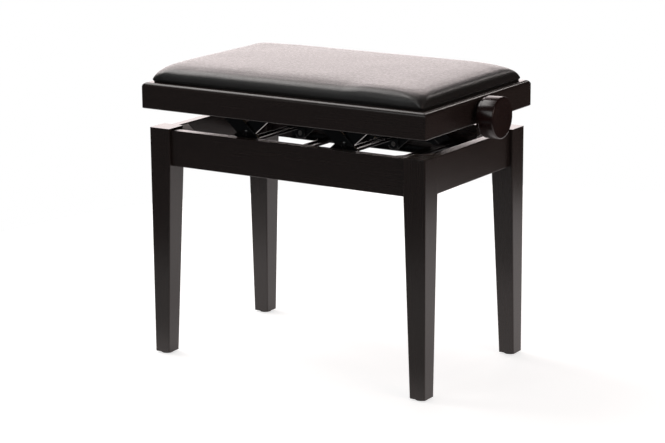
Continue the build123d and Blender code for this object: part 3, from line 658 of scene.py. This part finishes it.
def hangerBoltJig():
    jig = Jig("hangerBolt", "Washer Radius", "Washer Thickness", "Nut Flats", "Nut Height", "Bolt Radius",
              "Bolt Length", "Tail", "Pitch")
    washer, flats, tall = jig.given("Washer Thickness"), jig.given("Nut Flats"), jig.given("Nut Height")
    radius, length, tail = jig.given("Bolt Radius"), jig.given("Bolt Length"), jig.given("Tail")
    chamfer = (flats * flats * 0.29 + tall * tall * 0.25).math("SQRT")
    hexagon = jig.rod(flats / math.sqrt(3), tall, washer, 6)
    nut = jig.cut("INTERSECT", hexagon, jig.ball(chamfer, washer + tall * 0.5))
    shaft = jig.rod(radius * 0.86, length, washer + tall + tail - length)
    ridge = jig.thread(radius * 0.9, radius * 0.1, jig.given("Pitch"), tail * 0.9, washer + tall)
    body = [jig.rod(jig.given("Washer Radius"), washer, 0), nut, shaft, ridge]
    jig.stood(jig.make("GeometryNodeJoinGeometry", None, {"Geometry": body}))
    return jig


def liftScrewJig():
    jig = Jig("liftScrew", "Radius", "Thread Depth", "Lead", "Thread Length", "Rod Length")
    radius, depth, lead = jig.given("Radius"), jig.given("Thread Depth"), jig.given("Lead")
    threaded, whole = jig.given("Thread Length"), jig.given("Rod Length")
    core = jig.rod(radius - depth, threaded, 0)
    plain = jig.rod(radius, whole - threaded, threaded)
    starts = [jig.thread(radius - depth * 0.9, depth * 0.9, lead, threaded - lead * 0.3, lead * 0.15, turn)
              for turn in (0.0, math.pi)]
    jig.stood(jig.make("GeometryNodeJoinGeometry", None, {"Geometry": [core, plain, *starts]}))
    return jig


def islands(name):
    mesh = bmesh.new()
    mesh.from_mesh(nodes[name].data)
    bmesh.ops.remove_doubles(mesh, verts=mesh.verts, dist=1e-6)
    groups, seen = [], set()
    for start in mesh.verts:
        waiting, group = [start], []
        while waiting:
            vertex = waiting.pop()
            if vertex not in seen:
                seen.add(vertex)
                group.append(vertex.co.copy())
                waiting.extend(edge.other_vert(vertex) for edge in vertex.link_edges)
        if group:
            groups.append(group)
    mesh.free()
    return groups


def headedPlaces(name, heading, headHeight):
    # under-head point and direction of each fastener in a CAD node, and the length behind the head
    places, behind = [], 0.0
    for group in islands(name):
        aim = heading(sum(group, Vector()) / len(group)).normalized()
        reach = [spot.dot(aim) for spot in group]
        end = [spot for spot, along in zip(group, reach) if along > max(reach) - 2e-5]
        places.append((sum(end, Vector()) / len(end) - aim * headHeight, aim))
        behind = max(reach) - min(reach) - headHeight
    return places, behind


def fitted(name, jig, places, finish, **sizes):
    data = bpy.data.meshes.new(name)
    data.from_pydata([spot for spot, aim in places], [], [])
    heading = data.attributes.new("aim", "FLOAT_VECTOR", "POINT")
    for element, (spot, aim) in zip(heading.data, places):
        element.vector = aim
    piece = bpy.data.objects.new(name, data)
    bpy.context.scene.collection.objects.link(piece)
    modifier = piece.modifiers.new("jig", "NODES")
    modifier.node_group = jig.tree
    for label, value in sizes.items():
        modifier[jig.keys[label]] = value
    modifier[jig.keys["Finish"]] = finish
    applied(piece)
    return piece


def inwards(spot):
    return Vector((0, -spot.y, 0))


def outwards(spot):
    return Vector((0, spot.y, 0))


def downwards(spot):
    return Vector((0, 0, -1))


def leftwards(spot):
    return Vector((-1, 0, 0))


screw = {"headRadius": 0.004, "headHeight": 0.0018, "shankRadius": 0.002, "slotWidth": 0.0009,
         "lower_rail_screws": ("base", inwards), "board_screws": ("seat", downwards),
         "bracket_screws": ("seat", leftwards)}
rivet = {"headRadius": 0.0065, "headHeight": 0.002, "shankRadius": 0.004,
         "centre_rivets_right": "outer_arms_right", "centre_rivets_left": "outer_arms_left"}


def fasteners():
    screwJig, rivetJig = crossScrewJig(), domedRivetJig()
    for name in ("lower_rail_screws", "board_screws", "bracket_screws"):
        body, heading = screw[name]
        places, behind = headedPlaces(name, heading, screw["headHeight"])
        piece = fitted("cross_" + name, screwJig, places, slotFinish["zinc_screws"],
                       **{"Head Radius": screw["headRadius"], "Head Height": screw["headHeight"],
                          "Shank Radius": screw["shankRadius"], "Shank Length": behind,
                          "Slot Width": screw["slotWidth"]})
        takesPlaceOf(piece, body, name)
        print(name, len(places), "screws,", len(piece.data.polygons), "faces")
    for name in ("centre_rivets_right", "centre_rivets_left"):
        places, behind = headedPlaces(name, outwards, rivet["headHeight"])
        piece = fitted("domed_" + name, rivetJig, places, slotFinish["black_enamelled_steel"],
                       **{"Head Radius": rivet["headRadius"], "Head Height": rivet["headHeight"],
                          "Shank Radius": rivet["shankRadius"], "Span": behind - rivet["headHeight"]})
        takesPlaceOf(piece, rivet[name], name)
        print(name, len(places), "rivets,", len(piece.data.polygons), "faces")


hanger = {"washerRadius": 0.011, "washerThickness": 0.0016, "nutFlats": 0.010, "nutHeight": 0.005,
          "boltRadius": 0.003, "pitch": 0.001, "tail": 0.004, "middleX": -0.021}
lift = {"radius": 0.005, "threadDepth": 0.0008, "lead": 0.006, "plainBefore": 0.004}


def towardsMiddle(spot):
    return Vector((math.copysign(1, hanger["middleX"] - spot.x), math.copysign(1, -spot.y), 0))


def hangerBolts():
    proud = hanger["washerThickness"] + hanger["nutHeight"] + hanger["tail"]
    places, behind = headedPlaces("leg_bolts", towardsMiddle, proud)
    piece = fitted("hanger_bolts", hangerBoltJig(), places, slotFinish["zinc_screws"],
                   **{"Washer Radius": hanger["washerRadius"], "Washer Thickness": hanger["washerThickness"],
                      "Nut Flats": hanger["nutFlats"], "Nut Height": hanger["nutHeight"],
                      "Bolt Radius": hanger["boltRadius"], "Bolt Length": behind + proud,
                      "Tail": hanger["tail"], "Pitch": hanger["pitch"]})
    takesPlaceOf(piece, "base", "leg_bolts")
    print("hanger bolts:", len(piece.data.polygons), "faces")


def liftScrew():
    low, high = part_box("spindle")
    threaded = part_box("thrust_collars")[0].x - low.x - lift["plainBefore"]
    start = Vector((low.x, (low.y + high.y) / 2, (low.z + high.z) / 2))
    piece = fitted("lift_screw", liftScrewJig(), [(start, Vector((1, 0, 0)))], slotFinish["bright_steel"],
                   **{"Radius": lift["radius"], "Thread Depth": lift["threadDepth"], "Lead": lift["lead"],
                      "Thread Length": threaded, "Rod Length": high.x - low.x})
    takesPlaceOf(piece, "spindle", "spindle")
    print("lift screw:", len(piece.data.polygons), "faces")


fasteners()
hangerBolts()
liftScrew()


# Knob: turned on a lathe, with rounded rims and a shallow dish in its face

knobForm = {"length": 0.027, "hubRadius": 0.014, "backRound": 0.0014, "faceRound": 0.0022,
            "dishRadius": 0.0295, "dishDepth": 0.0007, "dishEdge": 0.4, "roundSteps": 6, "turns": 128,
            "sharpFrom": 35}


def knobProfile(low, high):
    radius, rise = (high.z - low.z) / 2, knobForm["faceRound"]
    back, backRise, steps = high.x - knobForm["length"], knobForm["backRound"], knobForm["roundSteps"]
    points = [(low.x, 0.0), (low.x, knobForm["hubRadius"]), (back, knobForm["hubRadius"])]
    for step in reversed(range(steps + 1)):
        turn = math.pi / 2 * step / steps
        points.append((back + backRise * (1 - math.sin(turn)), radius - backRise * (1 - math.cos(turn))))
    for step in range(steps + 1):
        turn = math.pi / 2 * step / steps
        points.append((high.x - rise * (1 - math.sin(turn)), radius - rise * (1 - math.cos(turn))))
    dish = knobForm["dishRadius"]
    for step in range(steps + 1):
        share = step / steps
        depth = knobForm["dishDepth"] * eased(share, 0.0, knobForm["dishEdge"])
        points.append((high.x - depth, dish * (1 - share)))
    return points


def knobTurned():
    low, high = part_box("knob")
    middle = Vector((0, (low.y + high.y) / 2, (low.z + high.z) / 2))
    mesh = bmesh.new()
    line = [mesh.verts.new(middle + Vector((along, 0, out))) for along, out in knobProfile(low, high)]
    edges = [mesh.edges.new(pair) for pair in zip(line, line[1:])]
    bmesh.ops.spin(mesh, geom=line + edges, cent=middle, axis=(1, 0, 0), angle=2 * math.pi,
                   steps=knobForm["turns"])
    bmesh.ops.remove_doubles(mesh, verts=mesh.verts, dist=1e-6)
    piece = newPiece("turned_knob", mesh, slotFinish["knob_plastic"])
    smoothed(piece)
    piece.data.set_sharp_from_angle(angle=math.radians(knobForm["sharpFrom"]))
    takesPlaceOf(piece, "spindle", "knob")
    print("knob turned:", len(piece.data.polygons), "faces")


knobTurned()


# Camera at the photograph's angle, fitted to the stool's corners

shot = {"focal": 2217.8, "frameWidth": 665.0, "sensor": 36.0, "clip": (0.05, 100.0),
        "azimuth": 32.823, "elevation": 13.608, "roll": -0.473, "distance": 3.8342,
        "aim": (-0.021, 0.0, 0.243), "aside": 0.00812, "above": 0.00742}


def photoCamera():
    data = bpy.data.cameras.new("photoCamera")
    data.sensor_width = shot["sensor"]
    data.lens = shot["focal"] * shot["sensor"] / shot["frameWidth"]
    data.clip_start, data.clip_end = shot["clip"]
    camera = bpy.data.objects.new("photoCamera", data)
    azimuth, elevation, roll = (math.radians(shot[k]) for k in ("azimuth", "elevation", "roll"))
    back = Vector((math.sin(azimuth) * math.cos(elevation), -math.cos(azimuth) * math.cos(elevation),
                   math.sin(elevation)))
    right = Vector((math.cos(azimuth), math.sin(azimuth), 0))
    up = back.cross(right)
    rolledRight = math.cos(roll) * right + math.sin(roll) * up
    rolledUp = math.cos(roll) * up - math.sin(roll) * right
    spot = Vector(shot["aim"]) - shot["aside"] * rolledRight - shot["above"] * rolledUp
    spot += shot["distance"] * back
    turned = Matrix((rolledRight, rolledUp, back)).transposed().to_4x4()
    camera.matrix_world = Matrix.Translation(spot) @ turned
    bpy.context.scene.collection.objects.link(camera)
    bpy.context.scene.camera = camera


photoCamera()


# White studio: pale floor, white backdrop at the back left, soft lamps, a dim room in other reflections

studio = {"floorMiddle": (0.10, 0.22), "floorReach": 1.22, "floorShade": 0.55, "floorGlow": 0.7,
          "floorMirrored": rgb(0.88, 0.81, 0.80), "mirroredBand": (-0.32, -0.17),
          "frontBand": (0.3, -0.3), "behindBand": (0.8, 0.9), "aboveBand": (-0.06, 0.04),
          "underBand": (0.68, 0.5),
          "ambient": 0.24, "backdropSide": (-0.70, 0.71, 0.0), "backdrop": rgb(1.0, 0.93, 0.92),
          "roomFront": rgb(0.042, 0.047, 0.050), "roomBack": rgb(0.06, 0.043, 0.038),
          "roomWall": rgb(0.025, 0.018, 0.016)}
lamps = {
    "backSoftbox": {"spot": (-1.86, 1.87, 1.3), "aim": (0.0, 0.0, 0.3), "size": (3.0, 2.6), "power": 46.0,
                    "tint": (1.0, 0.88, 0.87)},
    "topSoftbox": {"spot": (-1.5, 0.0, 2.3), "aim": (0.0, 0.0, 0.4), "size": (1.6, 1.6), "power": 36.0,
                   "tint": (1.0, 0.97, 0.95)},
    "rightSoftbox": {"spot": (2.4, -0.5, 1.3), "aim": (0.2, 0.0, 0.35), "size": (1.4, 1.4), "power": 15.0,
                     "tint": (1.0, 0.8, 0.73)},
    "frontSoftbox": {"spot": (-0.6, -2.6, 1.7), "aim": (0.0, 0.0, 0.4), "size": (1.6, 1.2), "power": 11.0,
                     "tint": (0.97, 1.0, 1.0)},
    "rimSoftbox": {"spot": (0.55, 2.1, 1.75), "aim": (0.0, 0.0, 0.45), "size": (0.4, 0.3), "power": 3.0,
                   "tint": (1.0, 0.93, 0.9)},
}


def floorFinish():
    finish = Finish("paperFloor")
    finish.set(Base_Color=rgb(*[studio["floorShade"]] * 3), Roughness=0.9, Specular_IOR_Level=0.0)
    camera, mirrored = finish.rayMask()
    depth = finish.make("ShaderNodeSeparateXYZ", None, {"Vector": finish.place()}, "Y")
    behind = finish.band(depth, *studio["mirroredBand"])
    glow = finish.mix(mirrored * behind, rgb(0, 0, 0), studio["floorMirrored"])
    glow = finish.mix(camera, glow, rgb(1, 1, 1))
    finish.set(Emission_Color=glow, Emission_Strength=studio["floorGlow"])
    return finish.material


def paperFloor():
    mesh = bmesh.new()
    bmesh.ops.create_circle(mesh, cap_ends=True, radius=studio["floorReach"], segments=64)
    bmesh.ops.translate(mesh, verts=mesh.verts, vec=(*studio["floorMiddle"], 0))
    newPiece("paper_floor", mesh, floorFinish())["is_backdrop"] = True


def softLamps():
    for name, lamp in lamps.items():
        light = bpy.data.lights.new(name, "AREA")
        light.shape = "RECTANGLE"
        light.size, light.size_y = lamp["size"]
        light.energy = lamp["power"]
        light.color = lamp["tint"]
        stand = bpy.data.objects.new(name, light)
        spot = Vector(lamp["spot"])
        turned = (Vector(lamp["aim"]) - spot).to_track_quat("-Z", "Y").to_matrix().to_4x4()
        stand.matrix_world = Matrix.Translation(spot) @ turned
        stand.visible_camera = False
        bpy.context.scene.collection.objects.link(stand)


def studioWorld():
    world = bpy.data.worlds.new("studio")
    bpy.context.scene.world = world
    world.use_nodes = True
    bench = Bench(world.node_tree)
    sight = bench.make("ShaderNodeTexCoord", out="Generated")
    facing = bench.make("ShaderNodeVectorMath", {"operation": "DOT_PRODUCT"},
                        {0: sight, 1: studio["backdropSide"]}, "Value")
    depth = bench.make("ShaderNodeSeparateXYZ", None, {"Vector": sight}, "Y")
    height = bench.make("ShaderNodeSeparateXYZ", None, {"Vector": sight}, "Z")
    front = bench.band(depth, *studio["frontBand"])
    behind = bench.band(facing, *studio["behindBand"])
    above = bench.band(height, *studio["aboveBand"])
    under = bench.band(height, *studio["underBand"])
    room = bench.mix(above, bench.mix(front, studio["roomBack"], studio["roomFront"]), studio["roomWall"])
    seen = bench.mix(behind * above * under, room, studio["backdrop"])
    camera, mirrored = bench.rayMask()
    light = bench.mix(mirrored, rgb(*[studio["ambient"]] * 3), seen)
    bench.put(world.node_tree.nodes["Background"].inputs["Color"], bench.mix(camera, light, rgb(1, 1, 1)))


paperFloor()
softLamps()
studioWorld()
bpy.context.scene.view_settings.view_transform = "Standard"
print("studio set")

low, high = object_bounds()
